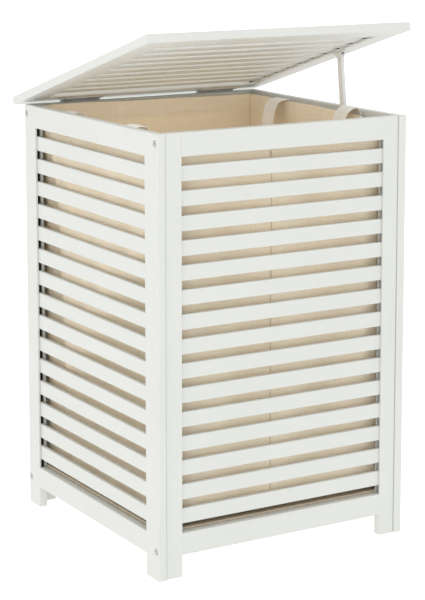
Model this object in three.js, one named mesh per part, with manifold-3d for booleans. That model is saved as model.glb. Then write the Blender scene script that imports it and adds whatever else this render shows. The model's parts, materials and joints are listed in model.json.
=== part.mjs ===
// A slatted laundry hamper: four framed panels bolted at the corners, a floor panel on battens,
// a cotton bag with webbing handles, and a slatted lid on two hinges with a sliding stay.
// Millimetres, +Z up, front towards -Y. The origin is on the floor, under the middle of the whole.

import * as THREE from 'three';
import { mergeVertices } from 'three/addons/utils/BufferGeometryUtils.js';
import Module from 'manifold-3d';

// ---- Driving dimensions ----

const BODY_WIDTH = 400;
const BODY_DEPTH = 400;
const BODY_HEIGHT = 605;
const BODY_SHIFT_Y = -10;         // the lid's rear overhang moves the middle of the whole back
const BOARD = 12;                 // thickness of the frame boards and of the lid
const JOINT_GAP = 0.2;            // left where two pieces meet
const FRONT_SETBACK = 2;          // front panel, behind the side panels' front edges

const SIDE_STILE_WIDTH = 35;
const END_STILE_WIDTH = 25;       // front and back panels
const LEG_HEIGHT = 30;            // below the bottom rails
const BOTTOM_RAIL_HEIGHT = 31;
const SLAT_WIDTH = 21.1;
const SLAT_THICKNESS = 6;
const SLAT_GAP = 12.2;
const SLAT_COUNT = 15;            // on each panel
const SPLINE_WIDTH = 1.5;         // strip in the groove that spaces the slats
const GROOVE_WIDTH = 6.6;
const GROOVE_DEPTH = 8;
const GROOVE_END = 6;             // the groove stops this far from the rails' outer edges
const TENON_LENGTH = 6;
const TENON_SHOULDER = 1;         // tenon, inside its rail's inner edge

const BOLT_HEAD_RADIUS = 3.3;
const BOLT_HEAD_HEIGHT = 2.4;
const BOLT_HEAD_PROUD = 0.4;
const BOLT_SOCKET_RADIUS = 1.8;
const BOLT_SOCKET_DEPTH = 1.8;
const BOLT_SHANK_RADIUS = 2;
const BOLT_LENGTH = 26;
const BOLT_CLEARANCE = 0.3;
const BOLT_HEIGHTS = { bottom: 40, top: 592 };

const FLOOR_THICKNESS = 5;
const FLOOR_TOP = 64;
const FLOOR_MARGIN = 0.6;
const BATTEN_WIDTH = 12;
const BATTEN_HEIGHT = 14;

const BAG_WALL = 1.5;
const BAG_SIDE_GAP = 13;          // leaves room for the stay beside the bag
const BAG_END_GAP = 3;
const BAG_CORNER_RADIUS = 22;
const BAG_BOTTOM = 66;
const BAG_RIM = 598;
const STUD_HEIGHT = 591;
const STUD_RADIUS = 4;
const STUD_NECK_RADIUS = 2.4;
const STUD_HEAD_THICKNESS = 2;
const STUD_LENGTH = 11.5;
const HANDLE_HALF_SPAN = 92;      // from the middle of the bag's side to each handle end
const HANDLE_WIDTH = 30;
const HANDLE_THICKNESS = 2;
const HANDLE_INSET = 19;          // from the bag's inner face
const HANDLE_TOP = 596;
const HANDLE_BEND_Z = 520;        // below this the handle hangs in a half circle

const LID_WIDTH = 419;
const LID_LENGTH = 430;
const LID_SIDE_RAIL_WIDTH = 35;
const LID_FRONT_RAIL_WIDTH = 57.5;
const LID_REAR_RAIL_WIDTH = 46.5;
const LID_SLAT_COUNT = 9;
const LID_REAR_OVERHANG = 18;
const LID_CLOSED_GAP = 2;         // between the closed lid and the body's top edge
const LID_OPEN_DEGREES = 16.4;    // the lid stands ajar on its stay

const HINGE_CENTRES_X = [-108, 127];
const HINGE_LENGTH = 66;
const HINGE_MIDDLE_KNUCKLE = 26;
const HINGE_KNUCKLE_GAP = 0.4;
const HINGE_KNUCKLE_RADIUS = 2.2;
const HINGE_BORE_RADIUS = 1.2;
const HINGE_PIN_RADIUS = 1.1;
const HINGE_AXIS_BEHIND = 2.6;    // behind the body's back face
const HINGE_AXIS_DROP = 2.6;      // below the closed lid's underside
const LEAF_WIDTH = 20;
const LEAF_THICKNESS = 1.2;
const LEAF_GAP = 0.3;

const STAY_CENTRE_X = 183;
const STAY_RADIUS = 273;          // pivot, in front of the hinge axis
const STAY_PIVOT_DROP = 4.9;      // pivot, below the hinge axis when the lid is closed
const STAY_WIDTH = 10;
const STAY_THICKNESS = 5;
const STAY_EYE_RADIUS = 5.5;
const STAY_LENGTH = 302;          // from the pivot to the lower end
const STAY_STOP_WIDTH = 22;
const STAY_STOP_HEIGHT = 6;
const STAY_BORE_RADIUS = 2.1;
const STAY_PIN_RADIUS = 1.9;
const BRACKET_LENGTH = 22;
const BRACKET_PLATE = 1.2;
const BRACKET_EAR = 1;
const BRACKET_EAR_GAP = 0.4;
const BRACKET_EAR_RADIUS = 4.5;
const BRACKET_EAR_INSET = 2;      // the ears are shorter than the plate at both ends
const GUIDE_HEIGHT = 587;         // middle of the eye that the stay slides through
const GUIDE_EYE_LENGTH = 18;
const GUIDE_EYE_WIDTH = 6.2;
const GUIDE_EYE_DEPTH = 6;
const GUIDE_WALL = 1.5;
const GUIDE_PLATE_Z = [566, 590];  // stays below the bracket when the lid is closed

const ROUND_SIDES = 16;
const CUT_MARGIN = 1;             // a cutting shape runs this far past the face that it opens
const JOIN_DEPTH = 0.5;           // joined shapes sink this far into each other

// ---- Sizes that follow from them ----

const halfWidth = BODY_WIDTH / 2;
const halfDepth = BODY_DEPTH / 2;
const halfBoard = BOARD / 2;
const bottomRailTop = LEG_HEIGHT + BOTTOM_RAIL_HEIGHT;
const slatPitch = SLAT_WIDTH + SLAT_GAP;
const topRailBottom = bottomRailTop + SLAT_COUNT * slatPitch + SLAT_GAP;
const endPanelWidth = BODY_WIDTH - 2 * BOARD - 2 * JOINT_GAP;
const frontPanelY = -halfDepth + FRONT_SETBACK + halfBoard;
const backPanelY = halfDepth - halfBoard;
const innerWallX = halfWidth - BOARD;
const innerFrontY = frontPanelY + halfBoard;
const innerBackY = backPanelY - halfBoard;

const hingeAxisY = halfDepth + HINGE_AXIS_BEHIND;
const hingeAxisZ = BODY_HEIGHT + LID_CLOSED_GAP - HINGE_AXIS_DROP;
const lidRear = halfDepth + LID_REAR_OVERHANG - hingeAxisY;
const lidFront = lidRear - LID_LENGTH;
const lidMiddleZ = HINGE_AXIS_DROP + halfBoard;
const lidAngle = THREE.MathUtils.degToRad(LID_OPEN_DEGREES);

// ---- Materials ----

const paintedWood = new THREE.MeshStandardMaterial({ color: 0xe6e7e2, roughness: 0.45, metalness: 0 });
const fibreBoard = new THREE.MeshStandardMaterial({ color: 0xd6d5cf, roughness: 0.6, metalness: 0 });
const cotton = new THREE.MeshStandardMaterial({ color: 0xc4ad89, roughness: 0.95, metalness: 0 });
const webbing = new THREE.MeshStandardMaterial({ color: 0xdfdcd4, roughness: 0.9, metalness: 0 });
const steel = new THREE.MeshStandardMaterial({ color: 0x84837f, roughness: 0.4, metalness: 0.9 });
const whitePlastic = new THREE.MeshStandardMaterial({ color: 0xdedfdc, roughness: 0.4, metalness: 0 });

// ---- Shapes ----

const wasm = await Module();
wasm.setup();

function block(xRange, yRange, zRange) {
  const ranges = [xRange, yRange, zRange];
  const size = ranges.map(([from, to]) => Math.abs(to - from));
  const middle = ranges.map(([from, to]) => (from + to) / 2);
  return new THREE.BoxGeometry(...size).translate(...middle);
}

function rodAlongX(radius, xRange, y = 0, z = 0) {
  const length = Math.abs(xRange[1] - xRange[0]);
  const rod = new THREE.CylinderGeometry(radius, radius, length, ROUND_SIDES);
  return rod.rotateZ(Math.PI / 2).translate((xRange[0] + xRange[1]) / 2, y, z);
}

function rodAlongY(radius, yRange, x, z) {
  const length = Math.abs(yRange[1] - yRange[0]);
  const rod = new THREE.CylinderGeometry(radius, radius, length, ROUND_SIDES);
  return rod.translate(x, (yRange[0] + yRange[1]) / 2, z);
}

// A flat outline extruded evenly to both sides of its own plane.
function plate(shape, thickness) {
  const settings = { depth: thickness, bevelEnabled: false, curveSegments: ROUND_SIDES };
  return new THREE.ExtrudeGeometry(shape, settings).translate(0, 0, -thickness / 2);
}

// The outline's two directions become Y and Z, and its thickness lies along X.
function plateAcrossX(shape, thickness) {
  const along = [new THREE.Vector3(0, 1, 0), new THREE.Vector3(0, 0, 1), new THREE.Vector3(1, 0, 0)];
  return plate(shape, thickness).applyMatrix4(new THREE.Matrix4().makeBasis(...along));
}

function rectangle(xRange, yRange) {
  const path = new THREE.Shape();
  path.moveTo(xRange[0], yRange[0]);
  path.lineTo(xRange[1], yRange[0]);
  path.lineTo(xRange[1], yRange[1]);
  path.lineTo(xRange[0], yRange[1]);
  path.closePath();
  return path;
}

function toSolid(geometry) {
  const bare = geometry.clone();
  bare.deleteAttribute('normal');
  bare.deleteAttribute('uv');
  const merged = mergeVertices(bare, 1e-4);
  const vertProperties = new Float32Array(merged.attributes.position.array);
  const triVerts = new Uint32Array(merged.index.array);
  return new wasm.Manifold(new wasm.Mesh({ numProp: 3, vertProperties, triVerts }));
}

function toGeometry(solid) {
  const mesh = solid.getMesh();
  const geometry = new THREE.BufferGeometry();
  geometry.setAttribute('position', new THREE.BufferAttribute(mesh.vertProperties, 3));
  geometry.setIndex(new THREE.BufferAttribute(mesh.triVerts, 1));
  geometry.computeVertexNormals();
  return geometry;
}

function cut(body, tools) {
  const solid = tools.reduce((rest, tool) => rest.subtract(toSolid(tool)), toSolid(body));
  return toGeometry(solid);
}

function join(pieces) {
  const [first, ...others] = pieces.map(toSolid);
  return toGeometry(others.reduce((whole, piece) => whole.add(piece), first));
}

function addPiece(group, name, geometry, material) {
  const mesh = new THREE.Mesh(geometry, material);
  mesh.name = name;
  group.add(mesh);
  return mesh;
}

// ---- Framed panels ----
// In a panel's own frame X runs across it, -Y is its outer face and Z is up.

function stile(panelWidth, width, edge, cuts) {
  const outer = edge * panelWidth / 2;
  const inner = edge * (panelWidth / 2 - width);
  const board = block([outer, inner], [-halfBoard, halfBoard], [0, BODY_HEIGHT]);
  const grooveZ = [LEG_HEIGHT + GROOVE_END, BODY_HEIGHT - GROOVE_END];
  const grooveX = [inner - edge * CUT_MARGIN, inner + edge * GROOVE_DEPTH];
  const groove = block(grooveX, [-GROOVE_WIDTH / 2, GROOVE_WIDTH / 2], grooveZ);
  return cut(board, [groove, ...cuts]);
}

function rail(span, zRange, tenonZRange) {
  const half = span / 2 - JOINT_GAP;
  const tenonHalf = span / 2 + TENON_LENGTH;
  const board = block([-half, half], [-halfBoard, halfBoard], zRange);
  const tenon = block([-tenonHalf, tenonHalf], [-SLAT_THICKNESS / 2, SLAT_THICKNESS / 2], tenonZRange);
  return join([board, tenon]);
}

// The slats of one panel, held at their ends by two thin strips that lie in the stiles' grooves.
function slatLadder(span) {
  const half = span / 2 + TENON_LENGTH;
  const open = half - SPLINE_WIDTH;
  const bottom = bottomRailTop + SLAT_GAP;
  const top = topRailBottom - SLAT_GAP;
  const outline = rectangle([-half, half], [bottom, top]);
  for (let i = 1; i < SLAT_COUNT; i += 1) {
    const gapTop = bottom + i * slatPitch;
    outline.holes.push(rectangle([-open, open], [gapTop - SLAT_GAP, gapTop]));
  }
  return plate(outline, SLAT_THICKNESS).rotateX(Math.PI / 2);
}

// Holes for the corner bolts: through a side panel's stile, with a seat for the head ...
function boltThroughHoles(x) {
  const shankHole = BOLT_SHANK_RADIUS + BOLT_CLEARANCE;
  const seatBottom = -halfBoard + BOLT_HEAD_HEIGHT - BOLT_HEAD_PROUD + JOINT_GAP;
  return Object.values(BOLT_HEIGHTS).flatMap((z) => [
    rodAlongY(shankHole, [-BOARD, BOARD], x, z),
    rodAlongY(BOLT_HEAD_RADIUS + BOLT_CLEARANCE, [-BOARD, seatBottom], x, z),
  ]);
}

// ... and into the edge of a front or back stile.
function boltEdgeHoles(edge) {
  const face = edge * endPanelWidth / 2;
  const depth = BOLT_LENGTH - BOARD + BOLT_CLEARANCE;
  const xRange = [face + edge * CUT_MARGIN, face - edge * depth];
  const radius = BOLT_SHANK_RADIUS + BOLT_CLEARANCE;
  return Object.values(BOLT_HEIGHTS).map((z) => rodAlongX(radius, xRange, 0, z));
}

function panel(name, width, stileWidth, ends) {
  const group = new THREE.Group();
  const span = width - 2 * stileWidth;
  for (const { side, edge, cuts } of ends) {
    addPiece(group, `${name}_${side}_stile`, stile(width, stileWidth, edge, cuts), paintedWood);
  }
  const grooveBottom = LEG_HEIGHT + GROOVE_END + JOINT_GAP;
  const grooveTop = BODY_HEIGHT - GROOVE_END - JOINT_GAP;
  const bottomTenonZ = [grooveBottom, bottomRailTop - TENON_SHOULDER];
  const topTenonZ = [topRailBottom + TENON_SHOULDER, grooveTop];
  const bottomRail = rail(span, [LEG_HEIGHT, bottomRailTop], bottomTenonZ);
  const topRail = rail(span, [topRailBottom, BODY_HEIGHT], topTenonZ);
  addPiece(group, `${name}_bottom_rail`, bottomRail, paintedWood);
  addPiece(group, `${name}_top_rail`, topRail, paintedWood);
  addPiece(group, `${name}_slats`, slatLadder(span), paintedWood);
  return group;
}

function sidePanel(name, turn, frontEdge) {
  const ends = [
    { side: 'front', edge: frontEdge, cuts: boltThroughHoles(frontEdge * -frontPanelY) },
    { side: 'rear', edge: -frontEdge, cuts: boltThroughHoles(-frontEdge * backPanelY) },
  ];
  const group = panel(name, BODY_DEPTH, SIDE_STILE_WIDTH, ends);
  group.rotation.z = turn * Math.PI / 2;
  group.position.x = turn * (halfWidth - halfBoard);
  return group;
}

function endPanel(name, halfTurns, leftEdge, y) {
  const ends = [
    { side: 'left', edge: leftEdge, cuts: boltEdgeHoles(leftEdge) },
    { side: 'right', edge: -leftEdge, cuts: boltEdgeHoles(-leftEdge) },
  ];
  const group = panel(name, endPanelWidth, END_STILE_WIDTH, ends);
  group.rotation.z = halfTurns * Math.PI;
  group.position.y = y;
  return group;
}

// ---- Corner bolts ----

function boltGeometry() {
  const headTop = BOLT_HEAD_PROUD;
  const headBottom = headTop - BOLT_HEAD_HEIGHT;
  const profile = [
    new THREE.Vector2(0, -BOLT_LENGTH),
    new THREE.Vector2(BOLT_SHANK_RADIUS, -BOLT_LENGTH),
    new THREE.Vector2(BOLT_SHANK_RADIUS, headBottom),
    new THREE.Vector2(BOLT_HEAD_RADIUS, headBottom),
    new THREE.Vector2(BOLT_HEAD_RADIUS, headTop),
    new THREE.Vector2(BOLT_SOCKET_RADIUS, headTop),
    new THREE.Vector2(BOLT_SOCKET_RADIUS, headTop - BOLT_SOCKET_DEPTH),
    new THREE.Vector2(0, headTop - BOLT_SOCKET_DEPTH),
  ];
  return new THREE.LatheGeometry(profile, ROUND_SIDES);
}

function cornerBolts() {
  const group = new THREE.Group();
  const rows = { front: frontPanelY, rear: backPanelY };
  for (const [side, sign] of [['left', -1], ['right', 1]]) {
    for (const [row, y] of Object.entries(rows)) {
      for (const [level, z] of Object.entries(BOLT_HEIGHTS)) {
        const bolt = addPiece(group, `bolt_${side}_${row}_${level}`, boltGeometry(), steel);
        bolt.rotation.z = -sign * Math.PI / 2;
        bolt.position.set(sign * halfWidth, y, z);
      }
    }
  }
  return group;
}

// ---- Floor ----

function floor() {
  const group = new THREE.Group();
  const board = block(
    [-innerWallX + FLOOR_MARGIN, innerWallX - FLOOR_MARGIN],
    [innerFrontY + FLOOR_MARGIN, innerBackY - FLOOR_MARGIN],
    [FLOOR_TOP - FLOOR_THICKNESS, FLOOR_TOP],
  );
  addPiece(group, 'floor_panel', board, fibreBoard);
  const battenTop = FLOOR_TOP - FLOOR_THICKNESS - JOINT_GAP;
  for (const [side, sign] of [['left', -1], ['right', 1]]) {
    const face = sign * (innerWallX - JOINT_GAP);
    const batten = block(
      [face, face - sign * BATTEN_WIDTH],
      [innerFrontY + FLOOR_MARGIN, innerBackY - FLOOR_MARGIN],
      [battenTop - BATTEN_HEIGHT, battenTop],
    );
    addPiece(group, `${side}_batten`, batten, paintedWood);
  }
  return group;
}

// ---- Bag ----

function roundedRectangle(halfX, halfY, radius) {
  const path = new THREE.Shape();
  path.absarc(halfX - radius, halfY - radius, radius, 0, Math.PI / 2);
  path.absarc(radius - halfX, halfY - radius, radius, Math.PI / 2, Math.PI);
  path.absarc(radius - halfX, radius - halfY, radius, Math.PI, 1.5 * Math.PI);
  path.absarc(halfX - radius, radius - halfY, radius, 1.5 * Math.PI, 2 * Math.PI);
  return path;
}

function bagBlock(inset, bottom, top) {
  const halfX = innerWallX - BAG_SIDE_GAP - inset;
  const halfY = (innerBackY - innerFrontY) / 2 - BAG_END_GAP - inset;
  const outline = roundedRectangle(halfX, halfY, BAG_CORNER_RADIUS - inset);
  const settings = { depth: top - bottom, bevelEnabled: false, curveSegments: 5 };
  return new THREE.ExtrudeGeometry(outline, settings).translate(0, 0, bottom);
}

// A flat band bent to a U: two legs and a half circle between them.
function handleGeometry() {
  const outer = HANDLE_HALF_SPAN + HANDLE_WIDTH / 2;
  const inner = HANDLE_HALF_SPAN - HANDLE_WIDTH / 2;
  const outline = new THREE.Shape();
  outline.moveTo(-outer, HANDLE_TOP);
  outline.absarc(0, HANDLE_BEND_Z, outer, Math.PI, 2 * Math.PI);
  outline.lineTo(outer, HANDLE_TOP);
  outline.lineTo(inner, HANDLE_TOP);
  outline.absarc(0, HANDLE_BEND_Z, inner, 2 * Math.PI, Math.PI, true);
  outline.lineTo(-inner, HANDLE_TOP);
  return plateAcrossX(outline, HANDLE_THICKNESS);
}

// A headed button that the bag's rim is hooked on.
function studGeometry() {
  const neckTop = STUD_LENGTH - STUD_HEAD_THICKNESS;
  const profile = [
    new THREE.Vector2(0, 0),
    new THREE.Vector2(STUD_NECK_RADIUS, 0),
    new THREE.Vector2(STUD_NECK_RADIUS, neckTop),
    new THREE.Vector2(STUD_RADIUS, neckTop),
    new THREE.Vector2(STUD_RADIUS, STUD_LENGTH),
    new THREE.Vector2(0, STUD_LENGTH),
  ];
  return new THREE.LatheGeometry(profile, ROUND_SIDES);
}

function bagAndFittings() {
  const group = new THREE.Group();
  const middleY = (innerFrontY + innerBackY) / 2;
  const hollow = bagBlock(BAG_WALL, BAG_BOTTOM + BAG_WALL, BAG_RIM + CUT_MARGIN);
  const bag = addPiece(group, 'laundry_bag', cut(bagBlock(0, BAG_BOTTOM, BAG_RIM), [hollow]), cotton);
  bag.position.y = middleY;
  const handleX = innerWallX - BAG_SIDE_GAP - BAG_WALL - HANDLE_INSET;
  for (const [side, sign] of [['left', -1], ['right', 1]]) {
    const handle = addPiece(group, `bag_handle_${side}`, handleGeometry(), webbing);
    handle.position.x = sign * handleX;
    for (const [row, y] of [['front', -HANDLE_HALF_SPAN], ['rear', HANDLE_HALF_SPAN]]) {
      const stud = addPiece(group, `bag_stud_${side}_${row}`, studGeometry(), steel);
      stud.rotation.z = sign * Math.PI / 2;
      stud.position.set(sign * (innerWallX - JOINT_GAP), y, STUD_HEIGHT);
    }
  }
  return group;
}

// ---- Hinges ----
// In the hinge's own frame the origin is on its axis, at the middle of its length.

const knuckleEnd = HINGE_LENGTH / 2;
const middleKnuckleEnd = HINGE_MIDDLE_KNUCKLE / 2;
const outerKnuckleStart = middleKnuckleEnd + HINGE_KNUCKLE_GAP;
const outerKnuckles = [[-knuckleEnd, -outerKnuckleStart], [outerKnuckleStart, knuckleEnd]];
const leafClearRadius = HINGE_KNUCKLE_RADIUS + HINGE_KNUCKLE_GAP;

function bodyLeaf() {
  const front = -HINGE_AXIS_BEHIND + LEAF_GAP;
  const leaf = block([-knuckleEnd, knuckleEnd], [front, front + LEAF_THICKNESS], [-LEAF_WIDTH, 0]);
  const relief = rodAlongX(leafClearRadius, [-outerKnuckleStart, outerKnuckleStart]);
  const knuckles = outerKnuckles.map((range) => rodAlongX(HINGE_KNUCKLE_RADIUS, range));
  const bore = rodAlongX(HINGE_BORE_RADIUS, [-HINGE_LENGTH, HINGE_LENGTH]);
  return cut(join([cut(leaf, [relief]), ...knuckles]), [bore]);
}

function lidLeaf() {
  const top = HINGE_AXIS_DROP - LEAF_GAP;
  const leaf = block([-knuckleEnd, knuckleEnd], [-LEAF_WIDTH, 0], [top - LEAF_THICKNESS, top]);
  const reliefs = outerKnuckles.map(([from, to]) => {
    const inward = HINGE_KNUCKLE_GAP * Math.sign(from + to);
    const range = from < 0 ? [from - CUT_MARGIN, to - inward] : [from - inward, to + CUT_MARGIN];
    return rodAlongX(leafClearRadius, range);
  });
  const knuckle = rodAlongX(HINGE_KNUCKLE_RADIUS, [-middleKnuckleEnd, middleKnuckleEnd]);
  const bore = rodAlongX(HINGE_BORE_RADIUS, [-HINGE_LENGTH, HINGE_LENGTH]);
  return cut(join([cut(leaf, reliefs), knuckle]), [bore]);
}

// ---- Lid ----
// In the lid's own frame the origin is on the hinge axis and the lid is closed.

function lidSideRail(sign) {
  const outer = sign * LID_WIDTH / 2;
  const inner = outer - sign * LID_SIDE_RAIL_WIDTH;
  const zRange = [lidMiddleZ - halfBoard, lidMiddleZ + halfBoard];
  const grooveZ = [lidMiddleZ - GROOVE_WIDTH / 2, lidMiddleZ + GROOVE_WIDTH / 2];
  const grooveY = [lidFront + GROOVE_END, lidRear - GROOVE_END];
  const groove = block([inner - sign * CUT_MARGIN, inner + sign * GROOVE_DEPTH], grooveY, grooveZ);
  return cut(block([outer, inner], [lidFront, lidRear], zRange), [groove]);
}

function lidEndRail(span, yRange, tenonYRange) {
  const half = span / 2 - JOINT_GAP;
  const tenonHalf = span / 2 + TENON_LENGTH;
  const zRange = [lidMiddleZ - halfBoard, lidMiddleZ + halfBoard];
  const tenonZ = [lidMiddleZ - SLAT_THICKNESS / 2, lidMiddleZ + SLAT_THICKNESS / 2];
  const board = block([-half, half], yRange, zRange);
  const tenon = block([-tenonHalf, tenonHalf], tenonYRange, tenonZ);
  return join([board, tenon]);
}

function lidFrame() {
  const group = new THREE.Group();
  const span = LID_WIDTH - 2 * LID_SIDE_RAIL_WIDTH;
  addPiece(group, 'lid_left_rail', lidSideRail(-1), paintedWood);
  addPiece(group, 'lid_right_rail', lidSideRail(1), paintedWood);
  const frontRailRear = lidFront + LID_FRONT_RAIL_WIDTH;
  const rearRailFront = lidRear - LID_REAR_RAIL_WIDTH;
  const tenonFront = lidFront + GROOVE_END + JOINT_GAP;
  const tenonRear = lidRear - GROOVE_END - JOINT_GAP;
  const frontTenonY = [tenonFront, frontRailRear - TENON_SHOULDER];
  const rearTenonY = [rearRailFront + TENON_SHOULDER, tenonRear];
  const frontRail = lidEndRail(span, [lidFront, frontRailRear], frontTenonY);
  const rearRail = lidEndRail(span, [rearRailFront, lidRear], rearTenonY);
  addPiece(group, 'lid_front_rail', frontRail, paintedWood);
  addPiece(group, 'lid_rear_rail', rearRail, paintedWood);
  const opening = rearRailFront - frontRailRear;
  const gap = (opening - LID_SLAT_COUNT * SLAT_WIDTH) / (LID_SLAT_COUNT + 1);
  const slatLength = span + 2 * TENON_LENGTH;
  for (let i = 0; i < LID_SLAT_COUNT; i += 1) {
    const slat = new THREE.BoxGeometry(slatLength, SLAT_WIDTH, SLAT_THICKNESS);
    const mesh = addPiece(group, `lid_slat_${i + 1}`, slat, paintedWood);
    const y = frontRailRear + gap + SLAT_WIDTH / 2 + i * (SLAT_WIDTH + gap);
    mesh.position.set(0, y, lidMiddleZ);
  }
  return group;
}

// ---- Lid stay ----
// In the stay's own frame the origin is on its pivot and the bar hangs down.

function stayBar() {
  const half = STAY_WIDTH / 2;
  const stopHalf = STAY_STOP_WIDTH / 2;
  const stopTop = STAY_STOP_HEIGHT - STAY_LENGTH;
  const eyeAngle = Math.acos(half / STAY_EYE_RADIUS);
  const outline = new THREE.Shape();
  outline.moveTo(-stopHalf, -STAY_LENGTH);
  outline.lineTo(stopHalf, -STAY_LENGTH);
  outline.lineTo(stopHalf, stopTop);
  outline.lineTo(half, stopTop);
  outline.absarc(0, 0, STAY_EYE_RADIUS, -eyeAngle, Math.PI + eyeAngle);
  outline.lineTo(-half, stopTop);
  outline.lineTo(-stopHalf, stopTop);
  const bore = rodAlongX(STAY_BORE_RADIUS, [-STAY_THICKNESS, STAY_THICKNESS]);
  return cut(plateAcrossX(outline, STAY_THICKNESS), [bore]);
}

// Two ears under a small plate, with a fixed pin between them.
function stayBracket() {
  const earInside = STAY_THICKNESS / 2 + BRACKET_EAR_GAP;
  const earOutside = earInside + BRACKET_EAR;
  const plateTop = STAY_PIVOT_DROP + HINGE_AXIS_DROP - LEAF_GAP;
  const plateBottom = plateTop - BRACKET_PLATE;
  const halfLength = BRACKET_LENGTH / 2;
  const base = block([-earOutside, earOutside], [-halfLength, halfLength], [plateBottom, plateTop]);
  const earTop = plateBottom + JOIN_DEPTH;
  const earHalf = halfLength - BRACKET_EAR_INSET;
  const outline = new THREE.Shape();
  outline.absarc(0, 0, BRACKET_EAR_RADIUS, Math.PI, 2 * Math.PI);
  outline.lineTo(earHalf, earTop);
  outline.lineTo(-earHalf, earTop);
  const earMiddle = (earInside + earOutside) / 2;
  const ears = [-earMiddle, earMiddle].map((x) => plateAcrossX(outline, BRACKET_EAR).translate(x, 0, 0));
  const pin = rodAlongX(STAY_PIN_RADIUS, [-earMiddle, earMiddle]);
  return join([base, ...ears, pin]);
}

// An eye on a small plate that is screwed to the inner face of the right top rail.
function stayGuide() {
  const eyeHalf = GUIDE_EYE_WIDTH / 2;
  const halfLength = GUIDE_EYE_LENGTH / 2;
  const outerHalf = halfLength + GUIDE_WALL;
  const plateX = innerWallX - JOINT_GAP - STAY_CENTRE_X;
  const loopZ = [-GUIDE_EYE_DEPTH / 2, GUIDE_EYE_DEPTH / 2];
  const loop = block([-eyeHalf - GUIDE_WALL, plateX], [-outerHalf, outerHalf], loopZ);
  const eyeZ = [loopZ[0] - CUT_MARGIN, loopZ[1] + CUT_MARGIN];
  const eye = block([-eyeHalf, eyeHalf], [-halfLength, halfLength], eyeZ);
  const plateZ = GUIDE_PLATE_Z.map((z) => z - GUIDE_HEIGHT);
  const backPlate = block([eyeHalf, plateX], [-outerHalf, outerHalf], plateZ);
  return join([cut(loop, [eye]), backPlate]);
}

const guideY = hingeAxisY - STAY_RADIUS;

// The lean of the bar from its place in the guide up to its pivot on the lid.
function stayLean() {
  const pivot = new THREE.Vector3(0, -STAY_RADIUS, -STAY_PIVOT_DROP);
  pivot.applyAxisAngle(new THREE.Vector3(1, 0, 0), -lidAngle);
  return Math.atan2(hingeAxisY + pivot.y - guideY, hingeAxisZ + pivot.z - GUIDE_HEIGHT);
}

// ---- Assembly ----

const hamper = new THREE.Group();
hamper.position.y = BODY_SHIFT_Y;
hamper.add(sidePanel('left', -1, 1));
hamper.add(sidePanel('right', 1, -1));
hamper.add(endPanel('front', 0, -1, frontPanelY));
hamper.add(endPanel('back', 1, 1, backPanelY));
hamper.add(cornerBolts());
hamper.add(floor());
hamper.add(bagAndFittings());

const lid = new THREE.Group();
lid.position.set(0, hingeAxisY, hingeAxisZ);
lid.rotation.x = -lidAngle;
lid.add(lidFrame());
hamper.add(lid);

for (const [side, x] of [['left', HINGE_CENTRES_X[0]], ['right', HINGE_CENTRES_X[1]]]) {
  addPiece(lid, `hinge_${side}_lid_leaf`, lidLeaf(), steel).position.x = x;
  const leaf = addPiece(hamper, `hinge_${side}_body_leaf`, bodyLeaf(), steel);
  leaf.position.set(x, hingeAxisY, hingeAxisZ);
  const pinRod = rodAlongX(HINGE_PIN_RADIUS, [-knuckleEnd, knuckleEnd]);
  const pin = addPiece(hamper, `hinge_${side}_pin`, pinRod, steel);
  pin.position.set(x, hingeAxisY, hingeAxisZ);
}

const stay = new THREE.Group();
stay.position.set(STAY_CENTRE_X, -STAY_RADIUS, -STAY_PIVOT_DROP);
addPiece(stay, 'stay_lid_bracket', stayBracket(), whitePlastic);
addPiece(stay, 'stay_bar', stayBar(), whitePlastic).rotation.x = lidAngle - stayLean();
lid.add(stay);
const guide = addPiece(hamper, 'stay_guide', stayGuide(), whitePlastic);
guide.position.set(STAY_CENTRE_X, guideY, GUIDE_HEIGHT);

export default hamper;
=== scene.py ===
"""The looks of the slatted laundry hamper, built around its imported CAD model. Metres, +Z up."""

import json
import math

import bmesh
import bpy
import numpy as np
from mathutils import Matrix, Vector


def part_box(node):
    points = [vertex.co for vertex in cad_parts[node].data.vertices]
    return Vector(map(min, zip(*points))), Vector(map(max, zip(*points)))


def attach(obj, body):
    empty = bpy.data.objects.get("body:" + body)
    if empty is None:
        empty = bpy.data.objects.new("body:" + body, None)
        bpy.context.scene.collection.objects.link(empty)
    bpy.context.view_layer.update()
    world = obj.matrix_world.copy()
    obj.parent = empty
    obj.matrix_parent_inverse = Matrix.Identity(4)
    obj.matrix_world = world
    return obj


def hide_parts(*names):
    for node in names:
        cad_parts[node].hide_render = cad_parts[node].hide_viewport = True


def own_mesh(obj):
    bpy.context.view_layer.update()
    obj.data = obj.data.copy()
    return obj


MM = 0.001

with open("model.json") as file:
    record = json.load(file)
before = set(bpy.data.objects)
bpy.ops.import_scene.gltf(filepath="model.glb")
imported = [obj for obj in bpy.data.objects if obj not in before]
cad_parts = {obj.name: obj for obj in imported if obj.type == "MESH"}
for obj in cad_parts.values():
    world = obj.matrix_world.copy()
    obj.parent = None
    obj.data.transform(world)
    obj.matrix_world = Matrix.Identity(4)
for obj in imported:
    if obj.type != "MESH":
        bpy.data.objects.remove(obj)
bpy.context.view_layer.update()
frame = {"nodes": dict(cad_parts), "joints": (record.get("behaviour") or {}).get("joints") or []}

# ---------------------------------------------------------------- places taken from the frame

joints = {joint["name"]: joint for joint in frame["joints"]}
hinge = joints["lid_hinge"]
LID_OPEN = math.radians(-hinge["range_deg"][0])
HINGE_AT = Vector(hinge["pos_m"])
BODY = Matrix.Identity(4)
LID = Matrix.Translation(HINGE_AT) @ Matrix.Rotation(-LID_OPEN, 4, "X")


def local_box(node, place=BODY):
    """Lowest and highest corner of a CAD node, seen from a frame that may be turned."""
    back = place.inverted()
    points = np.array([back @ v.co for v in frame["nodes"][node].data.vertices])
    return Vector(points.min(0)), Vector(points.max(0))


def middle(node):
    low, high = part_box(node)
    return (low + high) / 2


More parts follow.
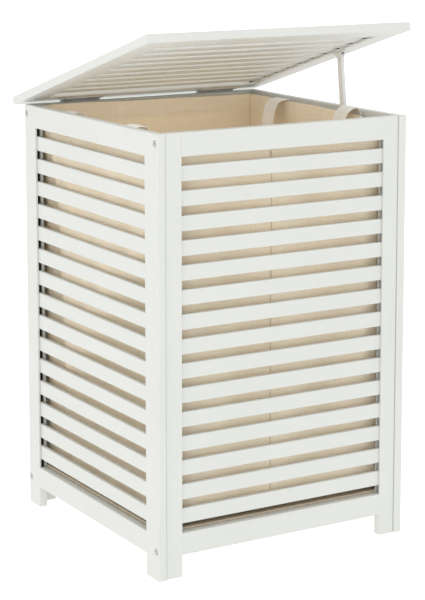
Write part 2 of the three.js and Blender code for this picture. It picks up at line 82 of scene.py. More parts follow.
# ---------------------------------------------------------------- camera, light and floor

CAMERA_AT = Vector((-1.4062, -2.3686, 0.9335))
CAMERA_YAW = math.radians(30.851)
CAMERA_PITCH = math.radians(8.234)
CAMERA_LENS = 115.52
CAMERA_SHIFT = -0.2383
WORLD_LIGHT = 1.0
FLOOR_GLOW = 1.06

# Each light's place, the point it faces, its size, power and colour.
LIGHTS = {
    "key": ((-3.4, -1.5, 0.5), (0, 0, 0.6), 1.8, 16, (1.0, 0.95, 0.89)),
    "top": ((-0.9, -1.6, 2.6), (0, 0.1, 0.5), 1.2, 9, (1.0, 0.97, 0.92)),
}
BOUNCE_HEIGHT = 0.6     # where in the bag the light that stands for its walls' bounce starts, as a share
BOUNCE_SIZE = 0.26
BOUNCE_POWER = 0.22
BOUNCE_COLOUR = (1.0, 0.88, 0.72)
FLOOR_SIZE = 40


def add_camera():
    data = bpy.data.cameras.new("camera")
    data.sensor_fit = "VERTICAL"
    data.sensor_height = 36
    data.lens = CAMERA_LENS
    data.shift_y = CAMERA_SHIFT
    data.clip_end = 200
    camera = bpy.data.objects.new("camera", data)
    forward = Vector((
        math.cos(CAMERA_PITCH) * math.sin(CAMERA_YAW),
        math.cos(CAMERA_PITCH) * math.cos(CAMERA_YAW),
        -math.sin(CAMERA_PITCH),
    ))
    camera.location = CAMERA_AT
    camera.rotation_euler = forward.to_track_quat("-Z", "Y").to_euler()
    bpy.context.scene.collection.objects.link(camera)
    bpy.context.scene.camera = camera


def add_area_light(name, at, towards, size, power, colour):
    data = bpy.data.lights.new(name, "AREA")
    data.shape = "DISK"
    data.size = size
    data.energy = power
    data.color = colour
    light = bpy.data.objects.new(name, data)
    light.location = at
    light.rotation_euler = (Vector(towards) - Vector(at)).to_track_quat("-Z", "Y").to_euler()
    bpy.context.scene.collection.objects.link(light)
    return light


def add_studio():
    world = bpy.data.worlds.new("studio")
    world.use_nodes = True
    background = world.node_tree.nodes["Background"]
    background.inputs["Color"].default_value = (1, 1, 1, 1)
    background.inputs["Strength"].default_value = WORLD_LIGHT
    bpy.context.scene.world = world
    bpy.context.scene.view_settings.view_transform = "Standard"
    for name, settings in LIGHTS.items():
        add_area_light(name, *settings)
    low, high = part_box("laundry_bag")
    inside = ((low.x + high.x) / 2, (low.y + high.y) / 2, low.z + BOUNCE_HEIGHT * (high.z - low.z))
    above = (inside[0], inside[1], 2)
    bounce = add_area_light("bounce", inside, above, BOUNCE_SIZE, BOUNCE_POWER, BOUNCE_COLOUR)
    bounce.visible_camera = False
    bm = bmesh.new()
    bmesh.ops.create_grid(bm, x_segments=24, y_segments=24, size=FLOOR_SIZE)
    floor = add_object("floor", bm)
    floor.data.materials.append(floor_material())


# ---------------------------------------------------------------- materials


def new_material(name):
    material = bpy.data.materials.new(name)
    material.use_nodes = True
    tree = material.node_tree
    shader = tree.nodes["Principled BSDF"]
    return material, tree, shader


def coordinates(tree, scale=(1, 1, 1)):
    """Object coordinates, stretched."""
    source = tree.nodes.new("ShaderNodeTexCoord")
    mapping = tree.nodes.new("ShaderNodeMapping")
    mapping.inputs["Scale"].default_value = scale
    tree.links.new(source.outputs["Object"], mapping.inputs["Vector"])
    return mapping.outputs["Vector"]


def noise(tree, vector, scale, detail=3, roughness=0.5):
    node = tree.nodes.new("ShaderNodeTexNoise")
    node.inputs["Scale"].default_value = scale
    node.inputs["Detail"].default_value = detail
    node.inputs["Roughness"].default_value = roughness
    tree.links.new(vector, node.inputs["Vector"])
    return node.outputs["Fac"]


def ramp(tree, value, stops):
    """A colour ramp: stops are (position, colour)."""
    node = tree.nodes.new("ShaderNodeValToRGB")
    elements = node.color_ramp.elements
    while len(elements) < len(stops):
        elements.new(0.5)
    for element, (position, colour) in zip(elements, stops):
        element.position = position
        element.color = (*colour, 1)
    tree.links.new(value, node.inputs["Fac"])
    return node.outputs["Color"]


def multiply_colours(tree, share, first, second):
    """The first colour, multiplied by the second as far as share says."""
    node = tree.nodes.new("ShaderNodeMix")
    node.data_type = "RGBA"
    node.blend_type = "MULTIPLY"
    node.inputs["Factor"].default_value = share
    tree.links.new(first, node.inputs["A"])
    tree.links.new(second, node.inputs["B"])
    return node.outputs["Result"]


def spread_between(tree, value, low, high):
    """Maps a value from 0..1 to low..high."""
    node = tree.nodes.new("ShaderNodeMapRange")
    node.inputs["To Min"].default_value = low
    node.inputs["To Max"].default_value = high
    tree.links.new(value, node.inputs["Value"])
    return node.outputs["Result"]


def maths(tree, operation, first, second=0):
    """A Math node on sockets or numbers."""
    node = tree.nodes.new("ShaderNodeMath")
    node.operation = operation
    for socket, value in zip(node.inputs, (first, second)):
        if isinstance(value, (int, float)):
            socket.default_value = value
        else:
            tree.links.new(value, socket)
    return node.outputs["Value"]


def bump(tree, shader, height, distance, strength=1.0, below=None):
    node = tree.nodes.new("ShaderNodeBump")
    node.inputs["Distance"].default_value = distance
    node.inputs["Strength"].default_value = strength
    tree.links.new(height, node.inputs["Height"])
    if below is not None:
        tree.links.new(below, node.inputs["Normal"])
    tree.links.new(node.outputs["Normal"], shader.inputs["Normal"])
    return node.outputs["Normal"]


def painted_wood(grain):
    """Satin white paint on planed wood: the grain, along one axis, shows faintly through it."""
    material, tree, shader = new_material(f"painted_wood_{grain}")
    along = {"x": (1, 14, 14), "y": (14, 1, 14), "z": (14, 14, 1)}[grain]
    streaks = noise(tree, coordinates(tree, along), 22, 6, 0.62)
    brush = noise(tree, coordinates(tree, tuple(4 * s for s in along)), 30, 2, 0.5)
    stipple = noise(tree, coordinates(tree), 1500, 2, 0.5)
    clouds = noise(tree, coordinates(tree), 5, 3, 0.5)
    tint = ramp(tree, clouds, [(0.3, (0.635, 0.65, 0.62)), (0.7, (0.655, 0.67, 0.64))])
    grain_tint = ramp(tree, streaks, [(0.36, (0.97, 0.965, 0.95)), (0.52, (1, 1, 1))])
    colour = multiply_colours(tree, 0.5, tint, grain_tint)
    tree.links.new(colour, shader.inputs["Base Color"])
    tree.links.new(spread_between(tree, clouds, 0.36, 0.52), shader.inputs["Roughness"])
    shader.inputs["Specular IOR Level"].default_value = 0.42
    base = bump(tree, shader, streaks, 0.00008, 0.4)
    base = bump(tree, shader, brush, 0.00005, 0.3, base)
    bump(tree, shader, stipple, 0.00004, 0.3, base)
    return material


def groove_shade_material():
    """Painted shade: a near-black material with a faint fibre texture, standing for the deep shadow inside a
    groove.
    """
    material, tree, shader = new_material("painted_groove_shade")
    fibres = noise(tree, coordinates(tree, (6, 6, 1)), 300, 4, 0.6)
    colour = ramp(tree, fibres, [(0.35, (0.016, 0.012, 0.007)), (0.65, (0.038, 0.03, 0.018))])
    tree.links.new(colour, shader.inputs["Base Color"])
    tree.links.new(spread_between(tree, fibres, 0.8, 0.95), shader.inputs["Roughness"])
    shader.inputs["Specular IOR Level"].default_value = 0.05
    bump(tree, shader, fibres, 0.0001, 0.5)
    return material


def board_material():
    """Pale pressed board: short fibres in two tones."""
    material, tree, shader = new_material("fibre_board")
    fibres = noise(tree, coordinates(tree, (1, 3, 1)), 420, 5, 0.7)
    mottle = noise(tree, coordinates(tree), 60, 3, 0.6)
    colour = ramp(tree, fibres, [(0.35, (0.50, 0.42, 0.32)), (0.65, (0.66, 0.58, 0.46))])
    shade = ramp(tree, mottle, [(0.3, (0.9, 0.89, 0.87)), (0.7, (1, 1, 1))])
    tree.links.new(multiply_colours(tree, 1.0, colour, shade), shader.inputs["Base Color"])
    tree.links.new(spread_between(tree, mottle, 0.6, 0.8), shader.inputs["Roughness"])
    bump(tree, shader, fibres, 0.0001, 0.5)
    return material


def woven(name, dark, light, thread, relief):
    """Plain weave from two sets of thread waves over object coordinates, with uneven thread tones."""
    material, tree, shader = new_material(name)
    split = tree.nodes.new("ShaderNodeSeparateXYZ")
    tree.links.new(coordinates(tree), split.inputs["Vector"])
    run = maths(tree, "ADD", split.outputs["X"], split.outputs["Y"])
    turns = 2 * math.pi / thread
    warp = maths(tree, "SINE", maths(tree, "MULTIPLY", run, turns))
    weft = maths(tree, "SINE", maths(tree, "MULTIPLY", split.outputs["Z"], turns))
    crossing = maths(tree, "MULTIPLY", warp, weft)
    weave = maths(tree, "ADD", maths(tree, "MULTIPLY", crossing, 0.5), 0.5)
    warp_slubs = noise(tree, coordinates(tree, (1, 1, 0.06)), 520, 3, 0.6)
    weft_slubs = noise(tree, coordinates(tree, (0.06, 0.06, 1)), 520, 3, 0.6)
    slubs = maths(tree, "MULTIPLY", maths(tree, "ADD", warp_slubs, weft_slubs), 0.5)
    stains = noise(tree, coordinates(tree), 9, 4, 0.55)
    threads = ramp(tree, slubs, [(0.26, dark), (0.74, light)])
    tone = ramp(tree, weave, [(0.0, (0.91, 0.89, 0.86)), (0.7, (1, 1, 1))])
    wash = ramp(tree, stains, [(0.3, (0.95, 0.935, 0.91)), (0.7, (1, 1, 1))])
    colour = multiply_colours(tree, 0.7, threads, tone)
    colour = multiply_colours(tree, 1.0, colour, wash)
    tree.links.new(colour, shader.inputs["Base Color"])
    tree.links.new(spread_between(tree, slubs, 0.82, 0.9), shader.inputs["Roughness"])
    shader.inputs["Specular IOR Level"].default_value = 0.2
    shader.inputs["Sheen Weight"].default_value = 0.15
    shader.inputs["Sheen Roughness"].default_value = 0.5
    shader.inputs["Subsurface Weight"].default_value = 0.35
    shader.inputs["Subsurface Radius"].default_value = (1.0, 0.8, 0.6)
    shader.inputs["Subsurface Scale"].default_value = 0.002
    base = bump(tree, shader, weave, relief, 0.6)
    bump(tree, shader, slubs, relief, 0.6, base)
    return material


def metal(name, dark, light, roughness, metallic=0.9):
    material, tree, shader = new_material(name)
    scratches = noise(tree, coordinates(tree, (1, 9, 9)), 700, 4, 0.65)
    smudges = noise(tree, coordinates(tree), 160, 3, 0.5)
    tree.links.new(ramp(tree, smudges, [(0.35, dark), (0.65, light)]), shader.inputs["Base Color"])
    shader.inputs["Metallic"].default_value = metallic
    uneven = spread_between(tree, smudges, roughness - 0.1, roughness + 0.12)
    tree.links.new(uneven, shader.inputs["Roughness"])
    bump(tree, shader, scratches, 0.00004, 0.5)
    return material


def moulded_plastic():
    material, tree, shader = new_material("white_plastic")
    grain = noise(tree, coordinates(tree), 2400, 2, 0.5)
    clouds = noise(tree, coordinates(tree), 40, 3, 0.5)
    colour = ramp(tree, clouds, [(0.3, (0.76, 0.765, 0.755)), (0.7, (0.81, 0.815, 0.805))])
    tree.links.new(colour, shader.inputs["Base Color"])
    tree.links.new(spread_between(tree, clouds, 0.33, 0.45), shader.inputs["Roughness"])
    bump(tree, shader, grain, 0.00003, 0.35)
    return material


def floor_material():
    material, tree, shader = new_material("floor")
    clouds = noise(tree, coordinates(tree), 0.8, 2, 0.5)
    colour = ramp(tree, clouds, [(0.3, (0.155, 0.155, 0.155)), (0.7, (0.165, 0.165, 0.165))])
    tree.links.new(colour, shader.inputs["Base Color"])
    shader.inputs["Roughness"].default_value = 0.8
    shader.inputs["Specular IOR Level"].default_value = 0.1
    shader.inputs["Emission Color"].default_value = (1, 1, 1, 1)
    shader.inputs["Emission Strength"].default_value = FLOOR_GLOW
    return material


# ---------------------------------------------------------------- mesh helpers


def add_object(name, bm, place=BODY):
    mesh = bpy.data.meshes.new(name)
    bm.to_mesh(mesh)
    bm.free()
    obj = bpy.data.objects.new(name, mesh)
    obj.matrix_world = place
    bpy.context.scene.collection.objects.link(obj)
    return obj


def rounded_box(bm, low, high, radius, end_radius=None, long_axis=2, joined=None):
    """Adds a box with rounded edges. With an end_radius, the edges at the long axis' two ends are sharper.

    joined is (axis, sign) of a side that other boards meet flush: its long edges are sharp too.
    """
    shape = Matrix.Translation((low + high) / 2) @ Matrix.Diagonal((*(high - low), 1))
    verts = bmesh.ops.create_cube(bm, size=1, matrix=shape)["verts"]
    edges = list(dict.fromkeys(edge for vert in verts for edge in vert.link_edges))
    if end_radius is None:
        bmesh.ops.bevel(bm, geom=edges, offset=radius, segments=3, profile=0.5, affect="EDGES")
        return

    def runs_along(edge):
        way = edge.verts[1].co - edge.verts[0].co
        return abs(way[long_axis]) > 0.9 * way.length

    sides = [edge for edge in edges if runs_along(edge)]
    if joined:
        axis, sign = joined
        centre = (low[axis] + high[axis]) / 2
        met = [edge for edge in sides if sign * (edge.verts[0].co[axis] - centre) > 0]
        sides = [edge for edge in sides if edge not in met]
    bmesh.ops.bevel(bm, geom=sides, offset=radius, segments=3, profile=0.5, affect="EDGES")
    if joined:
        bmesh.ops.bevel(bm, geom=met, offset=end_radius, segments=2, profile=0.5, affect="EDGES")
    ends = [face for face in bm.faces if abs(face.normal[long_axis]) > 0.99]
    caps = list(dict.fromkeys(edge for face in ends for edge in face.edges))
    bmesh.ops.bevel(bm, geom=caps, offset=end_radius, segments=2, profile=0.5, affect="EDGES")


def cylinder(bm, radius, start, end, segments=32):
    start, end = Vector(start), Vector(end)
    way = end - start
    turn = way.to_track_quat("Z", "Y").to_matrix().to_4x4()
    shape = Matrix.Translation((start + end) / 2) @ turn
    bmesh.ops.create_cone(
        bm, cap_ends=True, segments=segments, radius1=radius, radius2=radius, depth=way.length, matrix=shape
    )


def subtract(obj, tools):
    """Cuts each tool's solid out of the object, and removes the tools."""
    for tool in tools:
        modifier = obj.modifiers.new("cut", "BOOLEAN")
        modifier.operation = "DIFFERENCE"
        modifier.solver = "EXACT"
        modifier.object = tool
    apply_modifiers(obj)
    for tool in tools:
        bpy.data.objects.remove(tool)


def apply_modifiers(obj):
    bpy.context.view_layer.update()
    graph = bpy.context.evaluated_depsgraph_get()
    mesh = bpy.data.meshes.new_from_object(obj.evaluated_get(graph))
    obj.modifiers.clear()
    obj.data = mesh


def smooth(obj, degrees=32):
    """Smooth shading that keeps edges sharper than the angle."""
    limit = math.radians(degrees)
    bm = bmesh.new()
    bm.from_mesh(obj.data)
    for face in bm.faces:
        face.smooth = True
    for edge in bm.edges:
        edge.smooth = len(edge.link_faces) == 2 and edge.calc_face_angle(math.pi) < limit
    bm.to_mesh(obj.data)
    bm.free()
    modifier = obj.modifiers.new("normals", "WEIGHTED_NORMAL")
    modifier.keep_sharp = True
    apply_modifiers(obj)


def finish_piece(obj, material, body, replaced=()):
    obj.data.materials.clear()
    obj.data.materials.append(material)
    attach(obj, body)
    if replaced:
        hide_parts(*replaced)
    return obj


# ---------------------------------------------------------------- wooden boards

EDGE = 1.6 * MM             # rounding along a board
END_EDGE = 0.2 * MM         # and where it meets another
GROOVE_WIDTH = 6.6 * MM
GROOVE_DEPTH = 8 * MM
GROOVE_END = 6 * MM         # from a groove's end to the board's end, or to the leg
LEG_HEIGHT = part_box("front_bottom_rail")[0].z
TENON = 6 * MM              # the part of a rail's length that is inside the stiles' grooves
SHADE_STRIP_WIDTH = 6.5 * MM
SHADE_STRIP_FRONT = 5.2 * MM     # depths in the groove between which its strip of painted shade lies
SHADE_STRIP_BACK = 7.95 * MM
SLAT_END_PLAY = 1 * MM
FRONT_STRIP = 36.6 * MM     # how far the lid's front rail is as thick as the side rails
SEAT_RADIUS = 4.5 * MM
SEAT_DEPTH = 2.2 * MM

wood = {axis: painted_wood(axis) for axis in "xyz"}
# a near-black material, painted shade for the inside of the grooves
painted_groove_shade = groove_shade_material()


def board(name, low, high, long_axis, place=BODY, tools=(), joined=None):
    bm = bmesh.new()
    rounded_box(bm, low, high, EDGE, END_EDGE, long_axis, joined)
    obj = add_object(name, bm, place)
    if tools:
        subtract(obj, tools)
    smooth(obj)
    return obj


def box_tool(low, high, place=BODY):
    low, high = Vector(low), Vector(high)
    bm = bmesh.new()
    shape = Matrix.Translation((low + high) / 2) @ Matrix.Diagonal((*(high - low), 1))
    bmesh.ops.create_cube(bm, size=1, matrix=shape)
    return add_object("tool", bm, place)


def groove_box(low, high, across, through, along, inner_side, stops, depths, width):
    """Corners of a box inside a board's edge, between two depths, along the middle of its thickness."""
    inner = high[across] if inner_side > 0 else low[across]
    ends = sorted(inner - inner_side * depth for depth in depths)
    centre = (low[through] + high[through]) / 2
    box_low, box_high = Vector(low), Vector(high)
    box_low[across], box_high[across] = ends
    box_low[through], box_high[through] = centre - width / 2, centre + width / 2
    box_low[along], box_high[along] = stops
    return box_low, box_high


def edge_groove(*places, place=BODY):
    """A tool that cuts a groove along the middle of a board's edge, stopped at both ends."""
    return box_tool(*groove_box(*places, (-GROOVE_DEPTH, GROOVE_DEPTH), GROOVE_WIDTH), place)


def add_groove_shade_strip(name, body, *places, place=BODY):
    """A dark strip deep in a groove: painted shade that stands for the groove's deep shadow."""
    low, high = groove_box(*places, (SHADE_STRIP_FRONT, SHADE_STRIP_BACK), SHADE_STRIP_WIDTH)
    bm = bmesh.new()
    rounded_box(bm, low, high, 0.2 * MM)
    strip = add_object(name, bm, place)
    smooth(strip)
    finish_piece(strip, painted_groove_shade, body)


def bolt_seats(side, row):
    """Round seats in a side stile's outer face, for the bolt heads."""
    low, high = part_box(f"{side}_{row}_stile")
    outer, inwards = (low.x, 1) if side == "left" else (high.x, -1)
    tools = []
    for level in ("bottom", "top"):
        at = middle(f"bolt_{side}_{row}_{level}")
        start = (outer - inwards * MM, at.y, at.z)
        end = (outer + inwards * SEAT_DEPTH, at.y, at.z)
        bm = bmesh.new()
        cylinder(bm, SEAT_RADIUS, start, end, 40)
        tools.append(add_object("tool", bm))
    return tools


def build_panel(panel, across, sides):
    """A panel's two stiles, two rails and slats. across is the axis along its rails."""
    through = 1 - across
    for side, inner_side in zip(sides, (1, -1)):
        node = f"{panel}_{side}_stile"
        low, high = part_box(node)
        stops = (LEG_HEIGHT + GROOVE_END, high.z - GROOVE_END)
        groove = (low, high, across, through, 2, inner_side, stops)
        tools = [edge_groove(*groove)]
        # a dark strip of painted shade inside the stile's groove
        add_groove_shade_strip(f"{node}_groove_bottom", "hamper_body", *groove)
        if across == 1:
            tools += bolt_seats(panel, side)
        stile = board(f"{node}_painted", low, high, 2, tools=tools, joined=(across, inner_side))
        finish_piece(stile, wood["z"], "hamper_body", [node])
    for level in ("bottom", "top"):
        node = f"{panel}_{level}_rail"
        low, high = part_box(node)
        low[across] += TENON
        high[across] -= TENON
        rail = board(f"{node}_painted", low, high, across)
        finish_piece(rail, wood["xy"[across]], "hamper_body", [node])
    build_slats(panel, across, through)


SLATS = 15
SLAT_WIDTH = 21.1 * MM
SLAT_EDGE = 1.2 * MM
SLAT_PLAY = 0.18 * MM
slat_random = np.random.default_rng(7)


def build_slats(panel, across, through):
    """The panel's fifteen slats, each a rounded board that sits a little differently in its grooves."""
    node = f"{panel}_slats"
    low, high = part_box(node)
    low[across] += SLAT_END_PLAY
    high[across] -= SLAT_END_PLAY
    pitch = (high.z - low.z - SLAT_WIDTH) / (SLATS - 1)
    bm = bmesh.new()
    for i in range(SLATS):
        slat_low, slat_high = Vector(low), Vector(high)
        slat_low.z = low.z + i * pitch
        slat_high.z = slat_low.z + SLAT_WIDTH
        play = slat_random.uniform(-SLAT_PLAY, SLAT_PLAY)
        slat_low[through] += play
        slat_high[through] += play
        rounded_box(bm, slat_low, slat_high, SLAT_EDGE)
    slats = add_object(f"{node}_painted", bm)
    smooth(slats)
    finish_piece(slats, wood["xy"[across]], "hamper_body", [node])


def build_lid():
    """The lid's rails and slats, each made level and placed by the lid's turn."""
    for side, inner_side in (("left", 1), ("right", -1)):
        node = f"lid_{side}_rail"
        low, high = local_box(node, LID)
        low.y += FRONT_STRIP
        stops = (low.y + GROOVE_END, high.y - GROOVE_END)
        groove = (low, high, 0, 2, 1, inner_side, stops)
        # a dark strip of painted shade inside the rail's groove
        add_groove_shade_strip(f"{node}_groove_bottom", "lid", *groove, place=LID)
        cut = [edge_groove(*groove, place=LID)]
        rail = board(f"{node}_painted", low, high, 1, LID, cut, (0, inner_side))
        finish_piece(rail, wood["y"], "lid", [node])
    low, high = local_box("lid_rear_rail", LID)
    low.x += TENON
    high.x -= TENON
    rail = board("lid_rear_rail_painted", low, high, 0, LID)
    finish_piece(rail, wood["x"], "lid", ["lid_rear_rail"])
    build_lid_front()
    for node in sorted(n for n in frame["nodes"] if n.startswith("lid_slat_")):
        low, high = local_box(node, LID)
        low.x += SLAT_END_PLAY
        high.x -= SLAT_END_PLAY
        bm = bmesh.new()
        rounded_box(bm, low, high, SLAT_EDGE)
        slat = add_object(f"{node}_painted", bm, LID)
        smooth(slat)
        finish_piece(slat, wood["x"], "lid", [node])


def build_lid_front():
    """The front rail: its front strip runs across both side rails' ends, and its rear part is thinner."""
    low, high = local_box("lid_front_rail", LID)
    left_end = local_box("lid_left_rail", LID)[0].x
    right_end = local_box("lid_right_rail", LID)[1].x
    strip_end = low.y + FRONT_STRIP
    recess = local_box("lid_slat_1", LID)[0].z - low.z
    strip = (Vector((left_end, low.y, low.z)), Vector((right_end, strip_end, high.z)), EDGE)
    step_low = Vector((low.x + TENON, strip_end, low.z + recess))
    step_high = Vector((high.x - TENON, high.y, high.z - recess))
    for name, (start, end, edge), replaced in (
        ("lid_front_rail_painted", strip, ["lid_front_rail"]),
        ("lid_front_rail_step", (step_low, step_high, SLAT_EDGE), []),
    ):
        bm = bmesh.new()
        rounded_box(bm, start, end, edge, END_EDGE, 0)
        part = add_object(name, bm, LID)
        smooth(part)
        finish_piece(part, wood["x"], "lid", replaced)


def build_floor_panel():
    material = board_material()
    low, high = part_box("floor_panel")
    bm = bmesh.new()
    rounded_box(bm, low, high, 0.6 * MM)
    panel = add_object("floor_panel_board", bm)
    smooth(panel)
    finish_piece(panel, material, "hamper_body", ["floor_panel"])
    for side in ("left", "right"):
        node = f"{side}_batten"
        low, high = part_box(node)
        batten = board(f"{node}_painted", low, high, 1)
        finish_piece(batten, wood["y"], "hamper_body", [node])


# ---------------------------------------------------------------- metal and plastic fittings


def lathe(bm, profile, place, segments=48):
    """Turns a profile of (radius, height) points about the local Z axis. It starts and ends on the axis."""
    rings = []
    for radius, height in profile:
        if radius == 0:
            rings.append([bm.verts.new(place @ Vector((0, 0, height)))])
            continue
        angles = [2 * math.pi * i / segments for i in range(segments)]
        points = [Vector((radius * math.cos(a), radius * math.sin(a), height)) for a in angles]
        rings.append([bm.verts.new(place @ point) for point in points])
    for lower, upper in zip(rings, rings[1:]):
        for i in range(segments):
            j = (i + 1) % segments
            corners = [ring[k % len(ring)] for ring, k in ((lower, i), (lower, j), (upper, j), (upper, i))]
            bm.faces.new(list(dict.fromkeys(corners)))
    bmesh.ops.recalc_face_normals(bm, faces=bm.faces)


def outward(axis_sign):
    """Turns local +Z to +X or -X."""
    return Matrix.Rotation(axis_sign * math.pi / 2, 4, "Y")


BOLT_SHANK = 2 * MM
BOLT_HEAD = 3.3 * MM
BOLT_HEAD_HEIGHT = 2.4 * MM
SOCKET_RADIUS = 1.85 * MM
SOCKET_DEPTH = 4 * MM


def build_bolts():
    """Socket screws: a lathed head and shank, with a six-sided socket cut into the head."""
    steel = metal("bolt_steel", (0.58, 0.58, 0.56), (0.70, 0.70, 0.68), 0.4, 0.7)
    for node in sorted(n for n in frame["nodes"] if n.startswith("bolt_")):
        low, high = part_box(node)
        at = (low + high) / 2
        sign = -1 if at.x < 0 else 1
        head_top = high.x if sign > 0 else -low.x
        head_bottom = head_top - BOLT_HEAD_HEIGHT
        tip = low.x if sign > 0 else -high.x
        place = Matrix.Translation((0, at.y, at.z)) @ outward(sign)
        profile = [
            (0, tip), (1.4 * MM, tip), (BOLT_SHANK, tip + 1.2 * MM), (BOLT_SHANK, head_bottom),
            (BOLT_HEAD, head_bottom), (BOLT_HEAD, head_top - 0.5 * MM),
            (3.1 * MM, head_top - 0.1 * MM), (2.9 * MM, head_top), (2.1 * MM, head_top), (0, head_top),
        ]
        bm = bmesh.new()
        lathe(bm, profile, place)
        bolt = add_object(f"{node}_turned", bm)
        tool = bmesh.new()
        start = Vector((sign * (head_top + MM), at.y, at.z))
        cylinder(tool, SOCKET_RADIUS, start, start - Vector((sign * (SOCKET_DEPTH + MM), 0, 0)), 6)
        subtract(bolt, [add_object("tool", tool)])
        smooth(bolt)
        finish_piece(bolt, steel, "hamper_body", [node])


def refined(node, radius, place=BODY):
    """A copy of a CAD node with its flat faces merged and its sharp edges rounded."""
    bm = bmesh.new()
    bm.from_mesh(frame["nodes"][node].data)
    bmesh.ops.transform(bm, matrix=place.inverted(), verts=bm.verts)
    bmesh.ops.remove_doubles(bm, verts=bm.verts, dist=0.01 * MM)
    bmesh.ops.dissolve_limit(bm, angle_limit=math.radians(2), verts=bm.verts, edges=bm.edges)
    sharp = [e for e in bm.edges if len(e.link_faces) == 2 and e.calc_face_angle(0) > math.radians(40)]
    bmesh.ops.bevel(
        bm, geom=sharp, offset=radius, segments=2, profile=0.5, affect="EDGES", clamp_overlap=True
    )
    return bm


def screw_head(bm, at, normal, radius=2.6 * MM):
    """A flat countersunk head with a round recess, standing a little proud of its plate."""
    turn = Vector(normal).to_track_quat("Z", "Y").to_matrix().to_4x4()
    place = Matrix.Translation(at) @ turn
    proud = 0.35 * MM
    profile = [
        (0, -0.6 * MM), (radius * 0.8, -0.6 * MM), (radius, 0), (radius * 0.85, proud),
        (radius * 0.3, proud), (radius * 0.22, -0.2 * MM), (0, -0.3 * MM),
    ]
    lathe(bm, profile, place, 24)


HINGE_LEAF_UNDERSIDE = 1.1 * MM
SCREW_INSET = 8 * MM
SCREWS_AT = (-0.36, 0, 0.36)    # along a leaf from its middle, as shares of its length


def build_hinges():
    """Each hinge's two leaves with three screws each, and its pin."""
    steel = metal("hinge_steel", (0.66, 0.66, 0.65), (0.78, 0.78, 0.77), 0.6, 0.3)
    for side in ("left", "right"):
        for leaf, body, place in (("lid_leaf", "lid", LID), ("body_leaf", "hamper_body", BODY)):
            node = f"hinge_{side}_{leaf}"
            low, high = local_box(node, place)
            bm = refined(node, 0.25 * MM, place)
            for share in SCREWS_AT:
                x = (low.x + high.x) / 2 + share * (high.x - low.x)
                if leaf == "lid_leaf":
                    at = Vector((x, low.y + SCREW_INSET, HINGE_LEAF_UNDERSIDE))
                    screw_head(bm, at, (0, 0, -1))
                else:
                    at = Vector((x, low.y + 1.2 * MM, low.z + SCREW_INSET))
                    screw_head(bm, at, (0, 1, 0))
            obj = add_object(f"{node}_plated", bm, place)
            smooth(obj)
            finish_piece(obj, steel, body, [node])
        node = f"hinge_{side}_pin"
        low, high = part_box(node)
        at = (low + high) / 2
        half = (high.x - low.x) / 2
        profile = [(0, -half), (0.8 * MM, -half), (1.1 * MM, -half + 0.3 * MM), (1.1 * MM, half - 0.3 * MM),
                   (0.8 * MM, half), (0, half)]
        bm = bmesh.new()
        lathe(bm, profile, Matrix.Translation(at) @ outward(1), 24)
        pin = add_object(f"{node}_plated", bm)
        smooth(pin)
        finish_piece(pin, steel, "hamper_body", [node])


def build_stay():
    plastic = moulded_plastic()
    for node, body, radius in (("stay_bar", "stay", 0.9), ("stay_lid_bracket", "lid", 0.3),
                               ("stay_guide", "hamper_body", 0.35)):
        bm = refined(node, radius * MM)
        obj = add_object(f"{node}_moulded", bm)
        smooth(obj)
        finish_piece(obj, plastic, body, [node])


STUD_LENGTH = 4.2 * MM


def build_studs():
    """Flat-headed studs on the top rails' inner faces, which the bag hangs on."""
    steel = metal("stud_steel", (0.30, 0.30, 0.29), (0.44, 0.44, 0.42), 0.36)
    for node in sorted(n for n in frame["nodes"] if n.startswith("bag_stud_")):
        low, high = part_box(node)
        at = (low + high) / 2
        sign = -1 if at.x < 0 else 1
        face = high.x if sign > 0 else low.x
        place = Matrix.Translation((face, at.y, at.z)) @ outward(-sign)
        profile = [
            (0, 0), (2.2 * MM, 0), (2.2 * MM, STUD_LENGTH - 1.6 * MM), (3.6 * MM, STUD_LENGTH - 1.5 * MM),
            (3.9 * MM, STUD_LENGTH - 1.1 * MM), (3.3 * MM, STUD_LENGTH - 0.3 * MM), (0, STUD_LENGTH),
        ]
        bm = bmesh.new()
        lathe(bm, profile, place, 40)
        stud = add_object(f"{node}_turned", bm)
        smooth(stud)
        finish_piece(stud, steel, "hamper_body", [node])


# ---------------------------------------------------------------- cloth bag

bag_low, bag_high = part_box("laundry_bag")
WALL_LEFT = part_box("left_top_rail")[1].x
WALL_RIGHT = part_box("right_top_rail")[0].x
WALL_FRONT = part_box("front_top_rail")[1].y
WALL_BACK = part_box("back_top_rail")[0].y
OPEN_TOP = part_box("left_top_rail")[0].z
OPEN_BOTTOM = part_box("left_bottom_rail")[1].z
STILE_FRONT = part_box("left_front_stile")[1].y
STILE_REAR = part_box("left_rear_stile")[0].y
STILE_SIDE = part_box("front_right_stile")[0].x
STAY_Y = middle("stay_guide").y
STAY_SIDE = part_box("stay_bar")[0].x - 2.5 * MM
HEM_HEIGHT = 24 * MM
BAG_COLUMNS = 420
WALL_ROWS = 76
BOTTOM_ROWS = 20
CLOTH = 0.9 * MM
BAG_GAP = 3.6 * MM
TOP_CORNER = 5 * MM       # radius of the bag's upright corners, at the rim
LOW_CORNER = 13 * MM      # and at the bottom
BOTTOM_LIFT = 6 * MM
TUCK_TOP = 12 * MM        # from the rear stile to the tuck's edge, at the top
TUCK_LOW = 59 * MM        # and from halfway down
TUCK_DEPTH = 2.5 * MM
BULGE = 4.2 * MM          # how far the left wall leans out between the slats
FRONT_BULGE = 2.6 * MM    # and the front wall
HOLLOW = 5 * MM           # how far the left wall hangs inwards, low at the front
HOLLOW_TOP = 106 * MM     # from the top rail down to where the hollow starts, at the front stile
HOLLOW_RUN = 317 * MM     # and from there down to where it reaches the rear stile
TUCK_RUN = 303 * MM       # from the top rail down to where the tuck is at its widest
STAY_AHEAD = 105 * MM     # the wall keeps clear of the stay from this far in front of its guide
